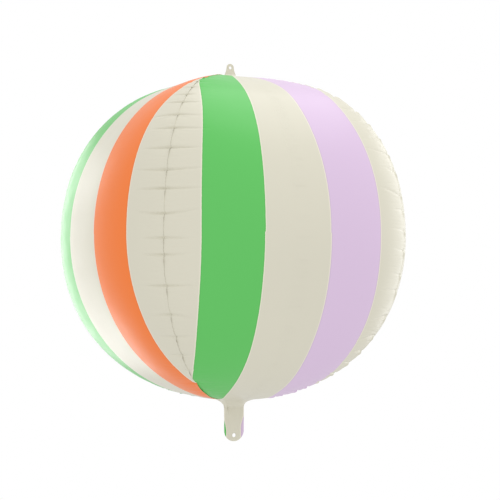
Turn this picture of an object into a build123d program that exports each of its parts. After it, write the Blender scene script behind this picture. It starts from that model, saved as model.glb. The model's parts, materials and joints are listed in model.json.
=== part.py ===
"""Round foil balloon printed like a beach ball: four gores of film heat-sealed edge to edge.

Millimetres, +Z up. The origin is the middle of the hanging hole in the crown tab, so the ball
hangs below it. The front gore faces -Y, the right gore faces +X. The film is drawn 0.4 mm thick;
the real film is about 0.05 mm.
"""
import os
from math import asin, cos, log2, radians, sin

from build123d import *

os.makedirs("parts", exist_ok=True)

# The inflated ball. Its cross-section is a rounded square with the seams at its corners.
face_radius = 183.5        # from the axis to the middle of a gore, at the widest level
seam_radius = 206.5        # from the axis to a seam, at the widest level
crown_height = 191.0       # from the widest level up to the crown
foot_depth = 188.5         # from the widest level down to the foot
crown_fullness = 2.03      # exponents of the meridian in a gore's middle: 2 is an ellipse
foot_fullness = 2.01
crown_spread = 0.16        # what is added to the ratio of seam to middle radius on the way to
foot_spread = 0.10         # the crown and to the foot, as the gores' tips grow squarer

# The film and its heat seals.
film = 0.4
seal_width = 3.0           # the fin that stands out along each seam
crown_cap_radius = 10.0    # the front and back gores meet across each pole, and cover
foot_cap_radius = 30.0     # the side gores' tips out to these radii
tip_gap = 0.5
lap = 6.0                  # how far an end gore runs in under its own pole cap

# The hanging tab on the crown.
hole_above_crown = 8.5
hanging_hole_radius = 1.7
tab_end_radius = 4.6
tab_root_half_width = 5.4
tab_fold_above_crown = 1.8
tab_flare_half_width = 9.0

# The neck below the foot, and the tail that it ends in.
neck_offset = 5.0          # the neck is sealed on a little to the +X side of the axis
neck_depth = 12.0          # from the foot to the fold where the tail begins
neck_flare_half_width = 22.0
tail_depth = 48.0          # from the foot to the tail's rounded end
tail_half_width = 12.5
ribbon_hole_radius = 2.3
ribbon_hole_depth = 41.0
channel_half_width = 6.0   # the filling channel between the two films
channel_slope = 2.0
channel_lift = 0.7

# The self-sealing valve inside, above the foot.
valve_film = 0.3
valve_half_width = 11.0
valve_height = 66.0
valve_foot_gap = 1.0
valve_gap = 0.2            # between the two films, when the gas has pressed them shut
valve_corner = 6.0

tab_fold_gap = 1.5         # left open at each fold, so that doubled film can turn 90 degrees
tail_fold_gap = 2.8        # more than twice the channel's height, so that it clears the neck
sections = 7               # meridians that each gore is lofted through
meridian_points = 19
cap_points = 6

half_gore = 45.0
centre_z = -(crown_height + hole_above_crown)
crown_z = centre_z + crown_height
foot_z = centre_z - foot_depth
tab_fold_z = crown_z + tab_fold_above_crown
tail_fold_z = foot_z - neck_depth
tail_end_z = foot_z - tail_depth


def surface_radius(angle, share, crown):
    """Radius of the ball at an angle from a gore's middle and a share of the crown's height,
    or of the foot's depth. The meridian in a gore's middle is a superellipse. So is the
    cross-section: its exponent is 2 where it is a circle, and grows with the seams' lead.
    """
    fullness = crown_fullness if crown else foot_fullness
    face = face_radius * (1 - share**fullness) ** (1 / fullness)
    lead = seam_radius / face_radius + (crown_spread if crown else foot_spread) * share**2
    squareness = 1 / (0.5 - log2(lead))
    along = abs(cos(radians(angle))) ** squareness
    across = abs(sin(radians(angle))) ** squareness
    return face * (along + across) ** (-1 / squareness)


def share_at(angle, radius, crown):
    """Share of the height at which the ball has this radius, found by halving."""
    low, high = 0.5, 0.99999
    for _ in range(40):
        middle = (low + high) / 2
        if surface_radius(angle, middle, crown) > radius:
            low = middle
        else:
            high = middle
    return low


def meridian(angle, foot_reach, crown_reach, lift=0.0, points=meridian_points):
    """Points (radius, height) of a meridian, from one radius near the foot to one near the
    crown, lifted off the ball's surface by a distance.
    """
    low = -asin(share_at(angle, foot_reach, False))
    high = asin(share_at(angle, crown_reach, True))
    scale = 1 + lift / face_radius
    outline = []
    for i in range(points):
        share = sin(low + (high - low) * i / (points - 1))
        height = crown_height if share > 0 else foot_depth
        radius = surface_radius(angle, abs(share), share > 0)
        outline.append((scale * radius, centre_z + scale * height * share))
    return outline


def meridian_plane(azimuth):
    """Upright plane through the axis: local X points outwards, local Y points up."""
    out = (cos(radians(azimuth)), sin(radians(azimuth)), 0)
    across = (sin(radians(azimuth)), -cos(radians(azimuth)), 0)
    return Plane(origin=(0, 0, 0), x_dir=out, z_dir=across)


def band(outer, inner):
    """Closed outline between two curves that run the same way."""
    with BuildLine() as outline:
        Spline(*outer)
        Line(outer[-1], inner[-1])
        Spline(*reversed(inner))
        Line(inner[0], outer[0])
    return outline.line


def panel(facing, crown_reach, foot_reach, seal_crown_reach, seal_foot_reach):
    """One gore's inflated film with a sealed fin along each of its two long edges."""
    with BuildPart() as gore:
        for i in range(sections):
            angle = half_gore * (2 * i / (sections - 1) - 1)
            outer = meridian(angle, foot_reach, crown_reach)
            inner = meridian(angle, foot_reach, crown_reach, -film)
            with BuildSketch(meridian_plane(facing + angle)):
                add(band(outer, inner))
                make_face()
        loft()
        root = meridian(half_gore, seal_foot_reach, seal_crown_reach, -film / 2)
        edge = meridian(half_gore, seal_foot_reach, seal_crown_reach, seal_width)
        for side in (-1, 1):
            with BuildSketch(meridian_plane(facing + side * half_gore)):
                add(band(edge, root))
                make_face()
            extrude(amount=side * film)
    return gore.part


def cap_outline(radius, crown, lift=0.0):
    """Points of a pole cap's mean outline, from the pole out to its rim."""
    scale = 1 + lift / face_radius
    height = crown_height if crown else -foot_depth
    outline = []
    for i in range(cap_points):
        reach = radius * i / (cap_points - 1)
        share = share_at(half_gore / 2, reach, crown) if reach else 1
        outline.append((scale * reach, centre_z + scale * height * share))
    return outline


def pole_cap(radius, crown):
    """Half disc of film on the -Y side of a pole."""
    with BuildPart() as cap:
        with BuildSketch(meridian_plane(180)):
            add(band(cap_outline(radius, crown), cap_outline(radius, crown, -film)))
            make_face()
        revolve(axis=Axis.Z, revolution_arc=180)
    return cap.part


def channel_film(low, high):
    """Front film of the neck or tail: flat sealed margins and a raised channel between them."""
    half = tail_half_width + neck_flare_half_width
    top = channel_lift + film
    with BuildPart() as strip:
        with BuildSketch(Plane.XY.offset(low)):
            with BuildLine():
                Polyline(
                    (neck_offset - half, 0),
                    (neck_offset - channel_half_width - channel_slope, 0),
                    (neck_offset - channel_half_width, -channel_lift),
                    (neck_offset + channel_half_width, -channel_lift),
                    (neck_offset + channel_half_width + channel_slope, 0),
                    (neck_offset + half, 0),
                    (neck_offset + half, -film),
                    (neck_offset + channel_half_width + channel_slope, -film),
                    (neck_offset + channel_half_width, -top),
                    (neck_offset - channel_half_width, -top),
                    (neck_offset - channel_half_width - channel_slope, -film),
                    (neck_offset - half, -film),
                    close=True,
                )
            make_face()
        extrude(amount=high - low)
    return strip.part


def film_level(x, crown):
    """Height of the middle of the pole cap's film at a distance x from the axis."""
    share = share_at(half_gore / 2, abs(x), crown) if abs(x) > 0.1 else 1
    if crown:
        return centre_z + crown_height * share - film / 2
    return centre_z - foot_depth * share + film / 2


def neck_front():
    """Front half of the neck, down to the fold where the tail begins."""
    low = tail_fold_z + tail_fold_gap / 2
    left = neck_offset - neck_flare_half_width
    right = neck_offset + neck_flare_half_width
    steps = [left + (right - left) * i / 8 for i in range(9)]
    with BuildPart() as neck:
        add(channel_film(low, foot_z + 5))
        with BuildSketch(Plane.XZ):
            with BuildLine():
                Spline(*[(x, film_level(x, False)) for x in steps])
                Spline(
                    (right, film_level(right, False)),
                    (neck_offset + tail_half_width, low),
                    tangents=[(-1, -0.15), (0, -1)],
                )
                Line((neck_offset + tail_half_width, low), (neck_offset - tail_half_width, low))
                Spline(
                    (neck_offset - tail_half_width, low),
                    (left, film_level(left, False)),
                    tangents=[(0, 1), (-1, 0.15)],
                )
            make_face()
        extrude(amount=5, both=True, mode=Mode.INTERSECT)
    return neck.part


def tab_root_front():
    """Front half of the low stub that the hanging tab folds on."""
    top = tab_fold_z - tab_fold_gap / 2
    steps = [tab_flare_half_width * (i / 4 - 1) for i in range(9)]
    with BuildPart() as root:
        with BuildSketch(Plane.XZ):
            with BuildLine():
                Spline(*[(x, film_level(x, True)) for x in steps])
                Line(
                    (tab_flare_half_width, film_level(tab_flare_half_width, True)),
                    (tab_root_half_width, top),
                )
                Line((tab_root_half_width, top), (-tab_root_half_width, top))
                Line(
                    (-tab_root_half_width, top),
                    (-tab_flare_half_width, film_level(tab_flare_half_width, True)),
                )
            make_face()
        extrude(amount=film)
    return root.part


# Front gore: panel, both pole caps, neck and tab root in one sheet of film.
with BuildPart() as front_gore:
    add(
        panel(
            -90,
            crown_cap_radius - lap,
            foot_cap_radius - lap,
            crown_cap_radius + tip_gap,
            foot_cap_radius + tip_gap,
        )
    )
    add(pole_cap(crown_cap_radius, True))
    add(pole_cap(foot_cap_radius, False))
    with Locations((neck_offset, 0, foot_z)):
        Box(2 * channel_half_width, 2 * channel_lift, 4, mode=Mode.SUBTRACT)
    add(neck_front())
    add(tab_root_front())
front_gore.part.label = "front_gore"
export_step(front_gore.part, "parts/front_gore.step")

# Back gore: the front gore's mirror image.
with BuildPart() as back_gore:
    mirror(front_gore.part, about=Plane.XZ)
back_gore.part.label = "back_gore"
export_step(back_gore.part, "parts/back_gore.step")

# Side gores: their tips stop short of the pole caps.
side_crown_radius = crown_cap_radius + tip_gap
side_foot_radius = foot_cap_radius + tip_gap
with BuildPart() as right_gore:
    add(panel(0, side_crown_radius, side_foot_radius, side_crown_radius, side_foot_radius))
right_gore.part.label = "right_gore"
export_step(right_gore.part, "parts/right_gore.step")

with BuildPart() as left_gore:
    mirror(right_gore.part, about=Plane.YZ)
left_gore.part.label = "left_gore"
export_step(left_gore.part, "parts/left_gore.step")

# Hanging tab: two films sealed face to face, with one hole punched through both.
with BuildPart() as tab_front_film:
    with BuildSketch(Plane.XZ):
        with BuildLine():
            root_z = tab_fold_z + tab_fold_gap / 2
            Polyline(
                (tab_end_radius, 0),
                (tab_root_half_width, root_z),
                (-tab_root_half_width, root_z),
                (-tab_end_radius, 0),
            )
            CenterArc((0, 0), tab_end_radius, 0, 180)
        make_face()
        Circle(hanging_hole_radius, mode=Mode.SUBTRACT)
    extrude(amount=film)
tab_front_film.part.label = "tab_front_film"
export_step(tab_front_film.part, "parts/tab_front_film.step")

with BuildPart() as tab_back_film:
    mirror(tab_front_film.part, about=Plane.XZ)
tab_back_film.part.label = "tab_back_film"
export_step(tab_back_film.part, "parts/tab_back_film.step")

# Tail: two films sealed along their margins, open at the end, with the ribbon hole through both.
with BuildPart() as tail_front_film:
    add(channel_film(tail_end_z - 1, tail_fold_z - tail_fold_gap / 2))
    with BuildSketch(Plane.XZ):
        with BuildLine():
            root_z = tail_fold_z - tail_fold_gap / 2
            bend_z = tail_end_z + tail_half_width
            Polyline(
                (neck_offset - tail_half_width, bend_z),
                (neck_offset - tail_half_width, root_z),
                (neck_offset + tail_half_width, root_z),
                (neck_offset + tail_half_width, bend_z),
            )
            CenterArc((neck_offset, bend_z), tail_half_width, 180, 180)
        make_face()
        with Locations((neck_offset, foot_z - ribbon_hole_depth)):
            Circle(ribbon_hole_radius, mode=Mode.SUBTRACT)
    extrude(amount=5, both=True, mode=Mode.INTERSECT)
tail_front_film.part.label = "tail_front_film"
export_step(tail_front_film.part, "parts/tail_front_film.step")

with BuildPart() as tail_back_film:
    mirror(tail_front_film.part, about=Plane.XZ)
tail_back_film.part.label = "tail_back_film"
export_step(tail_back_film.part, "parts/tail_back_film.step")

# Valve: two limp films that stand in the gas above the neck and are pressed shut by it.
valve_low = foot_z + film + valve_foot_gap
with BuildPart() as valve_front_film:
    with BuildSketch(Plane.XZ.offset(valve_gap / 2)):
        with Locations((neck_offset, valve_low + valve_height / 2)):
            RectangleRounded(2 * valve_half_width, valve_height, valve_corner)
    extrude(amount=valve_film)
valve_front_film.part.label = "valve_front_film"
export_step(valve_front_film.part, "parts/valve_front_film.step")

with BuildPart() as valve_back_film:
    mirror(valve_front_film.part, about=Plane.XZ)
valve_back_film.part.label = "valve_back_film"
export_step(valve_back_film.part, "parts/valve_back_film.step")
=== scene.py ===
import json
from math import cos, pi, radians, sin

import bpy
import numpy as np
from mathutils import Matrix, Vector


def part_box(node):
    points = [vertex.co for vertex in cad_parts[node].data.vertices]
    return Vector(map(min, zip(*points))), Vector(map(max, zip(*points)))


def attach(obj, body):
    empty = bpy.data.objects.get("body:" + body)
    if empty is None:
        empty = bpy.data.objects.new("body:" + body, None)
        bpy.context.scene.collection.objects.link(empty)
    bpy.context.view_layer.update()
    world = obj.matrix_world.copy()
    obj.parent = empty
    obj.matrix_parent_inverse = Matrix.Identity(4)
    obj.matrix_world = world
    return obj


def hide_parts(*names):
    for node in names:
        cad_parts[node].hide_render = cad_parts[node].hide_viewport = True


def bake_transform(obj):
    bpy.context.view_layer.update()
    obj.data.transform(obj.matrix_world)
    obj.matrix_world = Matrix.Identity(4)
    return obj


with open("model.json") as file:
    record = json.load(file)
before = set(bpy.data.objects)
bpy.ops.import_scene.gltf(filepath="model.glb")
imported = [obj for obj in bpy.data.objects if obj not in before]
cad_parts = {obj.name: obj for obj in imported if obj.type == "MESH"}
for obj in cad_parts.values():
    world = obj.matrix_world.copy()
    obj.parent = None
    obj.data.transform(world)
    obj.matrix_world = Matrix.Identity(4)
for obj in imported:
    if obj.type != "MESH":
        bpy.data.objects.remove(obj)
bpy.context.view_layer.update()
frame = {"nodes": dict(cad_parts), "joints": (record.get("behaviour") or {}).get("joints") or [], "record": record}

MM = 0.001

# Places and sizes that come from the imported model, in metres.
joints = {joint["name"]: joint for joint in frame["joints"]}
mounts = {mount["name"]: mount for mount in frame["record"]["mounts"]}
tab_fold_z = joints["tab_fold"]["pos_m"][2]
neck_x, _, tail_fold_z = joints["tail_fold"]["pos_m"]
hanging_radius = mounts["hanging_hole"]["dims"]["r_mm"] * MM
ribbon_radius = mounts["ribbon_hole"]["dims"]["r_mm"] * MM
ribbon_z = mounts["ribbon_hole"]["pos_m"][2]
tail_end_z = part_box("tail_front_film")[0].z
tail_half_width = (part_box("tail_front_film")[1].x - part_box("tail_front_film")[0].x) / 2
tab_top_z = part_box("tab_front_film")[1].z
tab_flare = 1.5 * MM                    # the film flares this much more at the tab's root
tab_root_half_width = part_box("tab_front_film")[1].x + tab_flare
seal_width = 3.0 * MM
face_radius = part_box("right_gore")[1].x
seam_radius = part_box("right_gore")[1].y * 2**0.5 - seal_width

# The ball's surface repeats the CAD model's sizes, and the exponents of its meridians and of its
# rounded-square section. Heights and depths run from the widest level.
tab_fold_above_crown = 1.8 * MM
crown_height = 191.0 * MM
foot_depth = 188.5 * MM
centre_z = tab_fold_z - tab_fold_above_crown - crown_height
crown_fullness, foot_fullness = 2.03, 2.01
crown_spread, foot_spread = 0.16, 0.10

# Film, seams and mesh.
film = 0.18 * MM
row_spacing = 0.67 * MM
neck_ring = 30 * MM        # the film leaves the ball for the neck at this distance from the axis
tab_ring = 12 * MM
neck_gather = 45 * MM      # inside this distance the front and back gores widen to close the ball
tab_gather = 24 * MM
neck_lean_reach = 75 * MM  # inside this distance the foot's film leans over to the neck
crown_dip = 3.3 * MM       # the film round the crown sinks this far below the CAD solid
crown_dip_reach = 125 * MM
crown_dip_run = 70 * MM    # from where the sinking starts to where it is full
neck_rows = 26
tab_rows = 10
neck_join_z = tail_fold_z + 3 * MM      # where the neck ends and the tail piece begins
tab_join_z = tab_fold_z - 1 * MM
seams = (-45, 45, 135, 225)             # azimuths from the front, towards the right gore
bare_crown, bare_foot = 12 * MM, 42 * MM    # near the axis, the film is cream
crease_width = 1.3 * MM
seam_margin = 22 * MM      # no main crease is drawn nearer than this to the ends of a seam
fine_creases = 95
widest_swell = 28 * MM     # a longer run of film between two creases swells no more than this one
bend_run = 200 * MM        # a crease's bend, in metres, is reached at this distance from the seam


def surface_radius(angle, share, crown):
    """Distance from the axis at an angle from a gore's middle and a share of the height."""
    fullness = np.where(crown, crown_fullness, foot_fullness)
    face = face_radius * (1 - share**fullness) ** (1 / fullness)
    lead = seam_radius / face_radius + np.where(crown, crown_spread, foot_spread) * share**2
    squareness = 1 / (0.5 - np.log2(lead))
    along = np.abs(np.cos(np.radians(angle))) ** squareness
    across = np.abs(np.sin(np.radians(angle))) ** squareness
    return face * (along + across) ** (-1 / squareness)


def ball_point(azimuth, slope):
    """Points of the smooth ball. The sine of slope is the share of the crown's or foot's height."""
    crown = slope > 0
    share = np.abs(np.sin(slope))
    radius = surface_radius((azimuth + 45) % 90 - 45, share, crown)
    height = np.where(crown, crown_height, -foot_depth) * share
    turn = np.radians(azimuth)
    return np.stack([radius * np.sin(turn), -radius * np.cos(turn), centre_z + height], -1)


def smooth(x):
    """0 below 0, 1 above 1, and an even slope between."""
    x = np.clip(x, 0, 1)
    return x * x * (3 - 2 * x)


def seam_levels():
    """Slopes evenly spaced along a seam, from the neck's ring up to the tab's, and their
    distances along the seam from the widest level.
    """
    slope = np.linspace(-1.567, 1.567, 6001)
    line = ball_point(np.full_like(slope, 45.0), slope)
    reach = np.hypot(line[:, 0], line[:, 1])
    path = np.concatenate([[0], np.cumsum(np.linalg.norm(np.diff(line, axis=0), axis=1))])
    path -= np.interp(0, slope, path)
    low = np.interp(neck_ring, reach[:3001], path[:3001])
    high = np.interp(-tab_ring, -reach[3000:], path[3000:])
    steps = np.linspace(low, high, round((high - low) / row_spacing))
    return np.interp(steps, path, slope), steps


slopes, paths = seam_levels()
seam_shares = np.sin(slopes)


def front_half_angle(reach, crown):
    """Half the angle that the front and back gores span: 45 degrees, until their film widens
    to close round the neck and the tab.
    """
    ring = np.where(crown, tab_ring, neck_ring)
    start = np.where(crown, tab_gather, neck_gather)
    return 45 + 45 * smooth((start - reach) / (start - ring))


class Crease:
    """A groove across a seam: its place along the seam, its depth, how far it runs to the left and
    right, its width, and how much its line bends upwards.
    """

    def __init__(self, place, depth, left, right, width, bend):
        self.place, self.depth, self.left, self.right = place, depth, left, right
        self.width, self.bend = width, bend


# The front left seam's creases, as the photo shows them: share of the height, depth, and reach to
# the left and right, in mm.
front_left_creases = (
    (0.930, 0.35, 10, 10), (0.885, 0.525, 14, 12), (0.840, 0.875, 14, 16), (0.790, 1.05, 16, 12),
    (0.740, 1.925, 21, 20), (0.660, 1.925, 30, 28), (0.580, 2.1, 24, 34), (0.465, 2.275, 32, 33),
    (0.340, 2.1, 37, 40), (0.235, 2.1, 35, 41), (0.098, 2.1, 33, 39), (-0.035, 1.75, 25, 31),
    (-0.130, 1.75, 26, 28), (-0.300, 1.75, 25, 34), (-0.460, 1.575, 23, 29),
    (-0.585, 1.225, 19, 22), (-0.690, 0.875, 14, 12), (-0.780, 0.7, 10, 13),
    (-0.860, 0.525, 8, 10),
)


def seam_creases(index):
    """Main creases of a seam, in order along it, and its fine ones. Seam 0 is the front left one."""
    draw = np.random.RandomState(40 + index)
    main = []
    if index == 0:
        for share, depth, left, right in front_left_creases:
            place = np.interp(share, seam_shares, paths)
            bend = draw.uniform(-0.3, 0.15)
            main.append(Crease(place, depth * MM, left * MM, right * MM, crease_width, bend))
    else:
        place = paths[-1] - seam_margin
        while place > paths[0] + seam_margin:
            nearness = 1 - abs(2 * (place - paths[0]) / (paths[-1] - paths[0]) - 1)
            strength = 0.45 + 0.55 * min(1, 2.2 * nearness)
            depth = strength * draw.uniform(0.8, 1.6) * MM
            left, right = strength * draw.uniform(18, 40, 2) * MM
            main.append(Crease(place, depth, left, right, crease_width, draw.uniform(-0.4, 0.4)))
            place -= strength * draw.uniform(17, 33) * MM
    fine = []
    for _ in range(fine_creases):
        place = draw.uniform(paths[0] + 20 * MM, paths[-1] - 20 * MM)
        depth = draw.uniform(0.05, 0.30) * MM
        left, right = draw.uniform(10, 44, 2) * MM
        width = draw.uniform(0.9, 1.6) * MM
        fine.append(Crease(place, depth, left, right, width, draw.uniform(-0.9, 0.9)))
    return sorted(main, key=lambda crease: crease.place), fine


creases = [seam_creases(i) for i in range(4)]


def between(index, path):
    """Share of the way between the main creases on either side, and their spacing."""
    places = np.array([paths[0]] + [crease.place for crease in creases[index][0]] + [paths[-1]])
    slot = np.clip(np.searchsorted(places, path) - 1, 0, len(places) - 2)
    spacing = places[slot + 1] - places[slot]
    return (path - places[slot]) / spacing, spacing


def pole_fade(path):
    """1 along most of a seam, falling to 0 at the neck and the tab."""
    return smooth((path - paths[0]) / (40 * MM)) * smooth((paths[-1] - path) / (30 * MM))


def pucker(index, path, distance, rightwards):
    """Height of the film above the smooth ball, near a seam: it swells between the main creases,
    and every crease is a groove that thins out away from the seam.
    """
    share, spacing = between(index, path)
    spacing = np.minimum(spacing, widest_swell)
    swell = np.clip(4 * share * (1 - share), 0, 1) ** 0.75
    height = 0.026 * spacing * swell * np.exp(-((distance / (0.5 * spacing + 4 * MM)) ** 2))
    for crease in creases[index][0] + creases[index][1]:
        reach = crease.right if rightwards else crease.left
        bow = crease.bend * (distance / bend_run) ** 2 * (1 if rightwards else 0.8)
        away = (path - crease.place - bow) / (crease.width * (1 - 0.3 * smooth(distance / reach)))
        fade = np.clip(1 - distance / reach, 0, 1) ** 0.45
        dip = 0.75 + 0.25 * np.exp(-distance / (4 * MM))
        height = height - crease.depth * dip * fade * np.exp(-(away**2))
    return height * pole_fade(path)


def seam_sway(index, path):
    """Sideways wander of a seam: it bows between creases."""
    share, spacing = between(index, path)
    spacing = np.minimum(spacing, widest_swell)
    drift = np.sin(path / (31 * MM) + 2.1 * index) + 0.6 * np.sin(path / (13 * MM) + index)
    bow = np.sin(pi * share) * (1.2 - share)
    return (0.25 * drift - 0.8 * bow * spacing / (25 * MM)) * MM * pole_fade(path)


def fin_lean(index, path):
    """Lean of the sealed fin, in radians, towards the right."""
    share, _ = between(index, path)
    lifted = np.exp(-(((share - 0.82) / 0.15) ** 2)) * smooth((paths[-1] - path) / (130 * MM))
    return np.radians(83 + 3 * np.sin(path / (17 * MM) + index) - 20 * lifted)


def draw_ends(points):
    """Shifts the film round the foot sideways, because the neck stands off the axis, and lets the
    film round the crown sink a little, so that it rises again to the tab.
    """
    reach = np.hypot(points[..., 0], points[..., 1])
    low = points[..., 2] < centre_z
    points[..., 0] += neck_x * low * smooth((neck_lean_reach - reach) / (neck_lean_reach - neck_ring))
    points[..., 2] -= crown_dip * ~low * smooth((crown_dip_reach - reach) / crown_dip_run)
    return points


def column_shares():
    """Places across a gore, dense at the seams, as shares of its width."""
    half = 145 * MM
    near = [0.7, 1.5, 2.5, 3.7, 5.2, 7, 9.2, 12, 15, 18.5, 22.5, 27, 32, 37.5, 44, 51]
    middle = np.linspace(62 * MM, half, 6)
    side = np.concatenate([np.array(near) * MM, middle]) / (2 * half)
    return np.concatenate([side, 1 - side[-2::-1]])


fin_steps = np.array([0.08, 0.3, 0.6, 0.85, 1.0])


def unit(vectors):
    return vectors / np.maximum(np.linalg.norm(vectors, axis=-1, keepdims=True), 1e-12)


def grid_normals(points):
    """Outward normals of a grid whose rows go up and whose columns go to the right."""
    upwards = np.gradient(points, axis=0)
    rightwards = np.gradient(points, axis=1)
    return unit(np.cross(rightwards, upwards))


def channel_lift(x, z):
    """Distance of the front film from the tail's middle plane: the filling channel bulges, the
    margins are sealed flat, and a soft fold runs down from the left of the neck.
    """
    across = (x - neck_x) / tail_half_width
    bulge = np.clip(1 - (across / 0.68) ** 2, 0, 1) ** 1.5
    depth = smooth((z - tail_end_z - 6 * MM) / (26 * MM))
    lift = (0.1 + 1.2 * depth) * MM * bulge
    down = np.clip((neck_join_z + 12 * MM - z) / (24 * MM), 0, 1)
    fold_x = neck_x - (10.5 - 4.5 * down) * MM
    fold = 1.4 * np.exp(-(((x - fold_x) / (0.9 * MM)) ** 2))
    ridge = 1.6 * np.exp(-(((x - fold_x + 0.4 * MM) / (2.9 * MM)) ** 2))
    crumple = (ridge - fold) * np.sin(pi * down) * MM
    ripple = 0.12 * MM * np.sin(x / (1.9 * MM) + z / (6 * MM)) * bulge
    return np.maximum(lift + crumple + ripple, 0) + 0.04 * MM


def tab_lift(x, z):
    """Distance of the front film from the tab's middle plane."""
    across = np.clip(1 - (x / (0.8 * tab_root_half_width)) ** 2, 0, 1)
    return 0.04 * MM + 0.35 * MM * across * smooth((tab_join_z + 3.5 * MM - z) / (3.5 * MM))


def run_between(start, start_pull, end, end_pull, count):
    """Rows of points on curves that leave start and reach end along the two pulls."""
    s = (np.arange(1, count + 1) / count)[:, None, None]
    return (
        (2 * s**3 - 3 * s**2 + 1) * start
        + (s**3 - 2 * s**2 + s) * start_pull
        + (3 * s**2 - 2 * s**3) * end
        + (s**3 - s**2) * end_pull
    )


def seam_fin(index, edge, own, level, path):
    """Columns of the sealed fin on a gore's edge, from its root outwards. own is 1 at the gore's
    left seam and -1 at its right one.
    """
    root = ball_point(edge, level)
    away = unit(root - Vector((0, 0, centre_z)))
    root = root + pucker(index, path, 0 * path, own > 0)[..., None] * away
    turn = np.radians(edge)
    aside = np.stack([np.cos(turn), np.sin(turn), 0 * turn], -1)
    lean = fin_lean(index, path)[..., None]
    rise = away * np.cos(lean) + aside * np.sin(lean)
    face = aside * np.cos(lean) - away * np.sin(lean)
    tall = 0.85 * seal_width * (0.1 + 0.9 * pole_fade(path))
    return draw_ends(root + own * 1.1 * film * face + fin_steps[:, None] * tall[..., None] * rise)


def gore_grid(middle):
    """Outer face of one gore with its fins, neck and tab root: points, and the print's maps."""
    left, right = (seams.index((middle + turn + 90) % 360 - 90) for turn in (-45, 45))
    caps = middle in (0, 180)
    level = slopes[:, None]
    path = paths[:, None]
    line = ball_point(np.full_like(slopes, 45.0), slopes)
    reach = np.hypot(line[:, 0], line[:, 1])[:, None]
    half = front_half_angle(reach, level > 0)
    if not caps:
        half = np.maximum(90 - half, 0.02)
    sway = [np.degrees(seam_sway(i, path) / reach) for i in (left, right)]
    start, stop = middle - half + sway[0], middle + half + sway[1]
    shares = column_shares()[None]
    azimuth = start + (stop - start) * shares
    panel = ball_point(azimuth, level + 0 * azimuth)
    across = np.hypot(panel[..., 0], panel[..., 1]) * np.radians(1)
    outwards = unit(panel - Vector((0, 0, centre_z)))
    height = pucker(left, path, (azimuth - start) * across, True)
    height = height + pucker(right, path, (stop - azimuth) * across, False)
    panel = draw_ends(panel + height[..., None] * outwards)
    left_fin = seam_fin(left, start, 1, level, path)
    right_fin = seam_fin(right, stop, -1, level, path)
    grid = np.concatenate([left_fin[:, ::-1], panel, right_fin], 1)
    azimuths = np.concatenate([start + 0 * fin_steps, azimuth, stop + 0 * fin_steps], 1)
    from_left, from_right = (azimuth - start) * across, (stop - azimuth) * across
    nearest = np.where(from_left < from_right, from_left, -from_right)
    none = np.zeros((len(paths), len(fin_steps)))
    maps = {
        "along": path / MM + 0 * azimuths,
        "from_seam": np.concatenate([none, nearest / MM, none], 1),
        "seam": np.concatenate([none + left, np.where(nearest > 0, left, right), none + right], 1),
    }
    if caps:
        grid, azimuths = add_ends(grid, azimuths, middle)
        maps = {key: repeat_ends(values) for key, values in maps.items()}
    return grid, azimuths - middle, maps


def repeat_ends(values):
    """A map's first and last rows, carried on over the neck and the tab root."""
    ends = np.repeat(values[:1], neck_rows, 0), np.repeat(values[-1:], tab_rows, 0)
    return np.concatenate([ends[0], values, ends[1]])


def add_ends(grid, azimuths, middle):
    """Carries a front or back gore's film on into the neck and the tab root."""
    facing = 1 if middle == 0 else -1
    turn = np.radians(azimuths - middle)
    sides = []
    for row, inner, half_width, x_middle, z, lift, count, pull in (
        (0, 1, tail_half_width, neck_x, neck_join_z, channel_lift, neck_rows, 17 * MM),
        (-1, -2, tab_root_half_width, 0, tab_join_z, tab_lift, tab_rows, 2.5 * MM),
    ):
        across = np.clip(turn[row] / (pi / 2), -1, 1)
        x = x_middle + facing * half_width * np.sin(across * pi / 2)
        level = np.full_like(x, z)
        y = -facing * (lift(x, level) + film)
        section = np.stack([x, y, level], -1)
        leaving = unit(grid[row] - grid[inner])
        leaving[..., 2] *= 0.4
        run = np.linalg.norm((section - grid[row])[..., :2], axis=-1, keepdims=True)
        step = (-1.0 if row == 0 else 1.0) * MM
        swing = -facing * (lift(x, level + step) - lift(x, level))
        down = np.stack([0 * x, swing, np.full_like(x, step)], -1) * pull / MM
        rows = run_between(grid[row], unit(leaving) * run * 1.15, section, down, count)
        sides.append(rows)
    return np.concatenate([sides[0][::-1], grid, sides[1]]), repeat_ends(azimuths)


def closed_sheet(name, outer, inner, maps, wrap=False):
    """A thin closed mesh between two grids of points. A map is a number for each point."""
    rows, cols = outer.shape[:2]
    index = np.arange(rows * cols).reshape(rows, cols)
    if wrap:
        index = np.concatenate([index, index[:, :1]], 1)
    a, b, c, d = index[:-1, :-1], index[:-1, 1:], index[1:, 1:], index[1:, :-1]
    front = np.stack([a, b, c, d], -1).reshape(-1, 4)
    back = front[:, ::-1] + rows * cols
    lines = [index[0], index[-1, ::-1]]
    if not wrap:
        lines += [index[::-1, 0], index[:, -1]]
    rims = [
        np.stack([line[1:], line[:-1], line[:-1] + rows * cols, line[1:] + rows * cols], -1)
        for line in lines
    ]
    quads = np.concatenate([front, back, *rims])
    mesh = bpy.data.meshes.new(name)
    points = np.concatenate([outer.reshape(-1, 3), inner.reshape(-1, 3)])
    mesh.from_pydata(points.tolist(), [], quads.tolist())
    mesh.polygons.foreach_set("use_smooth", np.ones(len(quads), bool))
    for key, values in maps.items():
        attribute = mesh.attributes.new(key, "FLOAT", "POINT")
        flat = np.tile(values.reshape(-1), 2).astype(np.float32)
        attribute.data.foreach_set("value", flat)
    mesh.update()
    mesh.set_sharp_from_angle(angle=radians(42))
    piece = bpy.data.objects.new(name, mesh)
    bpy.context.scene.collection.objects.link(piece)
    return piece


def band_edge(share, crown, widest, squared, eighth):
    """Angle of a band's edge from its gore's middle, in degrees: its value at the widest level, and
    what grows with the second and the eighth power of the height, for the crown and for the foot.
    """
    return widest + np.where(crown, *squared) * share**2 + np.where(crown, *eighth) * share**8


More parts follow.
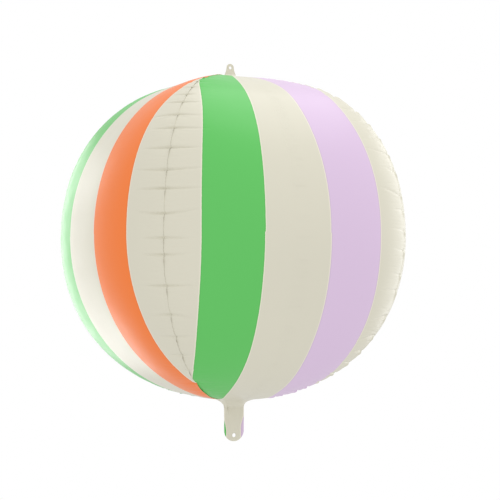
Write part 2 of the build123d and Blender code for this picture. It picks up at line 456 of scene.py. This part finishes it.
def print_maps(points, angles, shift):
    """Distances, in millimetres, in from the outer and the inner edge of the coloured bands,
    and the side of the gore's middle that a point is on.
    """
    drop = points[..., 2] - centre_z
    crown = drop > 0
    share = np.clip(np.abs(drop) / np.where(crown, crown_height, foot_depth), 0, 1)
    reach = np.hypot(points[..., 0], points[..., 1])
    outer = band_edge(share, crown, 31.8, (3.0, 9.8), (20.0, 17.9))
    inner = band_edge(share, crown, 12.0, (0.6, 3.9), (9.5, 11.6))
    bare = np.where(crown, bare_crown, bare_foot)
    inner = inner + 20 * (bare / np.maximum(reach, 4 * MM)) ** 3
    angle = angles - shift
    scale = reach * np.radians(1) / MM
    return {
        "from_outer": (outer - np.abs(angle)) * scale,
        "from_inner": (np.abs(angle) - inner) * scale,
        "side": np.tanh(angle / 4),
    }


def build_gore(name, middle, shift):
    grid, angles, maps = gore_grid(middle)
    inner = grid - film * grid_normals(grid)
    return closed_sheet(name, grid, inner, maps | print_maps(grid, angles, shift))


def punched_film(name, outline, hole, hole_radius, lift, facing, maps):
    """A flat film with a hole, as rings from the hole's edge out to an outline."""
    centre = np.array(hole)
    count = len(outline)
    direction = unit(outline - centre)
    rings = 30
    share = (np.arange(rings + 1) / rings)[:, None, None]
    share = 0.35 * share**2 + 0.65 * share
    flat = centre + direction * hole_radius
    flat = flat[None] + (outline[None] - flat[None]) * share
    x, z = flat[..., 0], flat[..., 1]
    outer = np.stack([x, -facing * (lift(x, z) + film), z], -1)
    inner = np.stack([x, -facing * lift(x, z), z], -1)
    if facing < 0:
        outer, inner = outer[:, ::-1], inner[:, ::-1]
        x, z = x[:, ::-1], z[:, ::-1]
    return closed_sheet(name, outer, inner, maps((x - hole[0]) * facing, z), wrap=True)


def tail_outline():
    """Points round the tail, from the left of its root, anticlockwise as seen from the front."""
    bend_z = tail_end_z + tail_half_width
    down = np.linspace(neck_join_z, bend_z, 40)[:-1]
    left = [(neck_x - tail_half_width, z) for z in down]
    turns = np.linspace(pi, 2 * pi, 60)
    end = [(neck_x + tail_half_width * cos(t), bend_z + tail_half_width * sin(t)) for t in turns]
    right = [(neck_x + tail_half_width, z) for z in down[::-1]]
    root = [(neck_x + tail_half_width * (1 - s / 15), neck_join_z) for s in range(1, 30)]
    return np.array(left + end + right + root)


def tab_outline():
    """Points round the tab, from the right of its root, anticlockwise as seen from the front."""
    turns = np.linspace(0, pi, 48)
    end = [(tab_top_z * cos(t), tab_top_z * sin(t)) for t in turns]
    rise = np.linspace(tab_join_z, 0, 18)[:-1]
    wide, narrow = tab_root_half_width, tab_top_z
    right = [(narrow + (wide - narrow) * (z / tab_join_z) ** 1.7, z) for z in rise]
    left = [(-x, z) for x, z in right[::-1]]
    root = [(-wide * (1 - s / 9), tab_join_z) for s in range(1, 18)]
    return np.array(right + end + left + root)


def tail_maps(x, z):
    """The print on the tail: a sliver of the left band low down, and some of the right one. The
    x runs from the tail's middle.
    """
    from_left = (tail_half_width + x) / MM
    from_right = (tail_half_width - x) / MM
    low = smooth((tail_fold_z - 8 * MM - z) / (16 * MM))
    lower = smooth((tail_fold_z - 4 * MM - z) / (16 * MM))
    on_left = 2.6 * low - 0.2 - from_left
    on_right = 3.9 * lower - 0.2 - from_right
    return {
        "from_outer": np.maximum(on_left, on_right),
        "from_inner": np.full_like(x, 9.0),
        "side": np.where(from_left < from_right, -1.0, 1.0),
    }


def plain_maps(x, z):
    return {
        "from_outer": np.full_like(x, -9.0),
        "from_inner": np.full_like(x, -9.0),
        "side": np.zeros_like(x),
    }


# Materials.
CREAM = (0.66, 0.635, 0.525)
GREEN = (0.115, 0.51, 0.115)
LILAC = (0.66, 0.51, 0.69)
ORANGE = (0.86, 0.205, 0.042)
PALE_EDGE = (0.80, 0.76, 0.63)


class Nodes:
    """Short names for building a material's nodes."""

    def __init__(self, material):
        self.tree = material.node_tree

    def add(self, kind, inputs=None, **settings):
        node = self.tree.nodes.new(kind)
        for key, value in settings.items():
            setattr(node, key, value)
        for key, value in (inputs or {}).items():
            if isinstance(value, bpy.types.NodeSocket):
                self.tree.links.new(value, node.inputs[key])
            else:
                node.inputs[key].default_value = value
        return node

    def math(self, operation, a, b=0.0):
        return self.add("ShaderNodeMath", {0: a, 1: b}, operation=operation).outputs[0]

    def number(self, name):
        return self.add("ShaderNodeAttribute", attribute_name=name).outputs["Fac"]

    def step(self, value, low, high, to_low=0.0, to_high=1.0):
        inputs = {"Value": value, "From Min": low, "From Max": high}
        inputs |= {"To Min": to_low, "To Max": to_high}
        return self.add("ShaderNodeMapRange", inputs, interpolation_type="SMOOTHSTEP").outputs[0]

    def noise(self, scale, detail=2.0, stretch=(1, 1, 1)):
        place = self.add("ShaderNodeTexCoord").outputs["Object"]
        moved = self.add("ShaderNodeMapping", {"Vector": place, "Scale": stretch}).outputs[0]
        inputs = {"Vector": moved, "Scale": scale, "Detail": detail}
        return self.add("ShaderNodeTexNoise", inputs).outputs["Fac"]

    def mix(self, share, a, b):
        node = self.add("ShaderNodeMix", {"Factor": share}, data_type="RGBA")
        for key, value in (("A", a), ("B", b)):
            socket = next(s for s in node.inputs if s.name == key and s.type == "RGBA")
            if isinstance(value, bpy.types.NodeSocket):
                self.tree.links.new(value, socket)
            else:
                socket.default_value = (*value, 1)
        return next(s for s in node.outputs if s.type == "RGBA")


def new_material(name):
    material = bpy.data.materials.new(name)
    material.use_nodes = True
    return material, Nodes(material), material.node_tree.nodes["Principled BSDF"]


def seam_lines(nodes):
    """Fine wrinkles that run square to the nearest seam and fade away from it."""
    away = nodes.number("from_seam")
    place = nodes.add(
        "ShaderNodeCombineXYZ",
        {
            "X": nodes.math("MULTIPLY", nodes.number("along"), 0.42),
            "Y": nodes.math("MULTIPLY", away, 0.03),
            "Z": nodes.math("MULTIPLY", nodes.number("seam"), 7.3),
        },
    )
    inputs = {"Vector": place.outputs[0], "Scale": 1.0, "Detail": 1.5}
    wrinkles = nodes.add("ShaderNodeTexNoise", inputs).outputs["Fac"]
    near = nodes.step(nodes.math("ABSOLUTE", away), 5.0, 46.0, 1.0, 0.0)
    return nodes.math("MULTIPLY", nodes.math("SUBTRACT", wrinkles, 0.5), near)


def printed_film(name, left_colour, right_colour):
    """Satin metallised film: cream, with two coloured bands that have pale printed edges."""
    material, nodes, shader = new_material(name)
    inside = nodes.math("MINIMUM", nodes.number("from_outer"), nodes.number("from_inner"))
    edge = nodes.math("ADD", inside, nodes.step(nodes.noise(260.0), 0.2, 0.8, -0.12, 0.12))
    cloud = nodes.step(nodes.noise(9.0, 3.0), 0.3, 0.7)
    cream = nodes.mix(cloud, tuple(0.985 * c for c in CREAM), CREAM)
    band = nodes.mix(nodes.step(nodes.number("side"), -0.5, 0.5), left_colour, right_colour)
    deeper = nodes.add("ShaderNodeHueSaturation", {"Color": band, "Value": 0.9}).outputs[0]
    band = nodes.mix(nodes.step(edge, 0.5, 1.5), deeper, band)
    ground = nodes.mix(nodes.step(edge, -1.5, -0.5, 0.0, 0.75), cream, PALE_EDGE)
    colour = nodes.mix(nodes.step(edge, -0.15, 0.15), ground, band)
    nodes.tree.links.new(colour, shader.inputs["Base Color"])
    rough = nodes.step(nodes.noise(60.0, 3.0), 0.2, 0.8, 0.36, 0.44)
    nodes.tree.links.new(rough, shader.inputs["Roughness"])
    grain = nodes.noise(900.0, 2.0)
    fine = nodes.add("ShaderNodeBump", {"Height": grain, "Strength": 0.03, "Distance": 0.0004})
    lines = {"Height": seam_lines(nodes), "Strength": 1.0, "Distance": 0.00035}
    bump = nodes.add("ShaderNodeBump", lines | {"Normal": fine.outputs[0]})
    nodes.tree.links.new(bump.outputs[0], shader.inputs["Normal"])
    shader.inputs["Metallic"].default_value = 0.0
    shader.inputs["IOR"].default_value = 1.4
    shader.inputs["Specular IOR Level"].default_value = 0.2
    shader.inputs["Coat Weight"].default_value = 0.2
    shader.inputs["Coat Roughness"].default_value = 0.25
    shader.inputs["Coat IOR"].default_value = 1.4
    return material


def clear_film(name):
    """Limp clear film with faint cloudiness."""
    material, nodes, shader = new_material(name)
    haze = nodes.mix(nodes.noise(120.0, 3.0), (0.80, 0.83, 0.85), (0.88, 0.90, 0.91))
    nodes.tree.links.new(haze, shader.inputs["Base Color"])
    rough = nodes.step(nodes.noise(300.0), 0.2, 0.8, 0.2, 0.4)
    nodes.tree.links.new(rough, shader.inputs["Roughness"])
    shader.inputs["Alpha"].default_value = 0.6
    return material


def pale_floor(name):
    material, nodes, shader = new_material(name)
    tint = nodes.mix(nodes.noise(0.6, 3.0), (0.97, 0.97, 0.965), (0.99, 0.99, 0.985))
    nodes.tree.links.new(tint, shader.inputs["Base Color"])
    shader.inputs["Roughness"].default_value = 0.8
    shader.inputs["Specular IOR Level"].default_value = 0.1
    return material


green_lilac = printed_film("film_green_lilac", GREEN, LILAC)
green_orange = printed_film("film_green_orange", GREEN, ORANGE)
valve_clear = clear_film("valve_clear")
for valve in ("valve_front_film", "valve_back_film"):
    node = frame["nodes"][valve]
    node.data.materials.clear()
    node.data.materials.append(valve_clear)

# Gores. The front one's print sits a little to the left, and the left one's to the right.
for name, middle, shift, material in (
    ("front_gore", 0, -1.5, green_lilac),
    ("right_gore", 90, 0.5, green_orange),
    ("back_gore", 180, -0.5, green_lilac),
    ("left_gore", -90, 0.5, green_orange),
):
    piece = build_gore(name + "_skin", middle, shift)
    piece.data.materials.append(material)
    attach(piece, "ball")
    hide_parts(name)

# Tail and tab: a front and a back film each.
for side, facing in (("front", 1), ("back", -1)):
    tail = punched_film(
        f"tail_{side}_skin", tail_outline(), (neck_x, ribbon_z), ribbon_radius,
        channel_lift, facing, tail_maps,
    )
    tail.data.materials.append(green_lilac)
    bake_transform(tail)
    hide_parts(f"tail_{side}_film")
    tab = punched_film(
        f"tab_{side}_skin", tab_outline(), (0.0, 0.0), hanging_radius, tab_lift, facing, plain_maps
    )
    tab.data.materials.append(green_lilac)
    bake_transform(tab)
    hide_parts(f"tab_{side}_film")

# Floor, light and camera. The ball hangs, so the floor lies well below it.
floor_radius, floor_z = 12, -4
bpy.ops.mesh.primitive_circle_add(
    vertices=96, radius=floor_radius, fill_type="NGON", location=(0, 0, floor_z)
)
floor = bpy.context.object
floor.name = "floor"
floor.data.materials.append(pale_floor("floor_pale"))
floor.visible_glossy = False
floor.visible_diffuse = False

ball_centre = Vector((0, 0, centre_z))
view_azimuth, view_elevation = radians(-24.95), radians(-2.09)
view_distance = 1.743
backwards = Vector(
    (
        sin(view_azimuth) * cos(view_elevation),
        -cos(view_azimuth) * cos(view_elevation),
        sin(view_elevation),
    )
)
sideways = Vector((cos(view_azimuth), sin(view_azimuth), 0))
upwards = backwards.cross(sideways)
level_back = Vector((backwards.x, backwards.y, 0)).normalized()

world = bpy.data.worlds.new("studio")
bpy.context.scene.world = world
world.use_nodes = True
sky = Nodes(world)
direction = sky.add("ShaderNodeTexCoord").outputs["Generated"]
height = sky.add("ShaderNodeSeparateXYZ", {0: direction}).outputs["Z"]
behind = sky.add("ShaderNodeVectorMath", {0: direction, 1: -level_back}, operation="DOT_PRODUCT")
from_back = sky.step(behind.outputs["Value"], -1.0, 1.0, 1.12, 0.84)
around = sky.math("MULTIPLY", sky.step(height, -0.6, 0.7, 0.96, 1.0), from_back)
room = sky.add("ShaderNodeBackground", {"Color": (1, 1, 1, 1), "Strength": around})
backdrop = sky.add("ShaderNodeBackground", {"Color": (1, 1, 1, 1), "Strength": 1.0})
seen = sky.add("ShaderNodeLightPath").outputs["Is Camera Ray"]
both = sky.add("ShaderNodeMixShader", {0: seen, 1: room.outputs[0], 2: backdrop.outputs[0]})
sky.tree.links.new(both.outputs[0], sky.tree.nodes["World Output"].inputs["Surface"])


def softbox(name, right, up, back, size, power):
    """Area light at a place given from the camera's side, aimed at the ball."""
    light = bpy.data.lights.new(name, "AREA")
    light.shape = "RECTANGLE"
    light.size, light.size_y = size
    light.energy = power
    lamp = bpy.data.objects.new(name, light)
    bpy.context.scene.collection.objects.link(lamp)
    lamp.location = ball_centre + sideways * right + Vector((0, 0, up)) + level_back * back
    lamp.rotation_mode = "QUATERNION"
    lamp.rotation_quaternion = (ball_centre - lamp.location).to_track_quat("-Z", "Y")
    lamp.visible_camera = False
    return lamp


softbox("left_box", -1.25, -0.2, -1.8, (1.1, 2.0), 18)
softbox("right_box", 1.5, 0.1, -1.2, (1.4, 2.0), 13)
softbox("top_box", 0.45, 1.5, -0.2, (1.3, 1.1), 8)

camera_data = bpy.data.cameras.new("camera")
camera = bpy.data.objects.new("camera", camera_data)
bpy.context.scene.collection.objects.link(camera)
camera_data.sensor_width = 36
camera_data.lens = 107.5
camera_data.clip_start, camera_data.clip_end = 0.05, 200
camera.location = ball_centre + backwards * view_distance
target = ball_centre + sideways * 0.0232 - upwards * 0.0139
camera.rotation_mode = "QUATERNION"
camera.rotation_quaternion = (camera.location - target).to_track_quat("Z", "Y")
bpy.context.scene.camera = camera
bpy.context.scene.view_settings.view_transform = "Standard"
